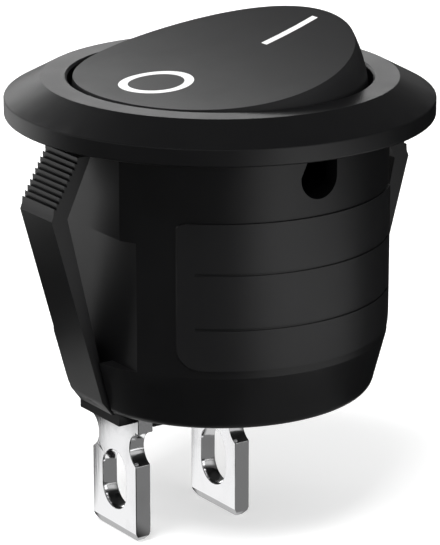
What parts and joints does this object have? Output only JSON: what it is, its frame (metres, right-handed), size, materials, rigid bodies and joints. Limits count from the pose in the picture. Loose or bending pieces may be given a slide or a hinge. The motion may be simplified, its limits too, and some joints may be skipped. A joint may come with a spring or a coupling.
{
  "type": "round snap-in panel rocker switch",
  "caption": "Round rocker switch for a panel hole: sloping bezel, tilting rocker with O and I marks, barrel with stepped snap arms, and solder-slot terminals.",
  "frame": {"origin": "on the switch's axis in the plane of the panel's face, where the underside of the bezel seats", "axes": "+Z out of the panel, away from the terminals; +X from the O end to the I end of the rocker; the rocker turns about an axis along Y, and the rating plate's side is -Y"},
  "size_m": [0.023, 0.023, 0.0271],
  "materials": {
    "housing_plastic": "black moulded nylon, satin",
    "rocker_plastic": "charcoal moulded nylon, fine satin grain",
    "mark_white": "white inlay",
    "inner_brass": "bare pressed brass",
    "contact_silver": "silver-faced rivet",
    "terminal_plate": "silver-plated pressed brass, bright",
    "spring_steel": "drawn spring wire"
  },
  "bodies": {
    "housing": {"housing": "housing_plastic", "common_terminal": "terminal_plate", "load_terminal": "terminal_plate", "fixed_contact": "contact_silver"},
    "rocker": {"rocker": "rocker_plastic", "off_mark": "mark_white", "on_mark": "mark_white", "plunger_spring": "spring_steel"},
    "plunger": {"plunger": "inner_brass"},
    "see_saw": {"contact_bridge": "inner_brass", "moving_contact": "contact_silver"}
  },
  "joints": [
    {"name": "rocker_tilt", "type": "hinge", "parent": "housing", "child": "rocker", "pos_m": [0, 0, 0.0006], "axis": [0, 1, 0], "range_deg": [0, 19.76]},
    {"name": "plunger_slide", "type": "slide", "parent": "rocker", "child": "plunger", "axis": [-0.1716, 0, 0.9852], "range_m": [0, 0.0006], "stiffness_N_per_m": 400, "springref_m": -0.002, "deforming": ["plunger_spring"]},
    {"name": "see_saw_tilt", "type": "hinge", "parent": "housing", "child": "see_saw", "pos_m": [0, 0, -0.0089], "axis": [0, 1, 0], "range_deg": [-16, 0]}
  ],
  "couplings": [
    {"joint": "see_saw_tilt", "follows": "rocker_tilt", "ratio": -0.8097}
  ]
}
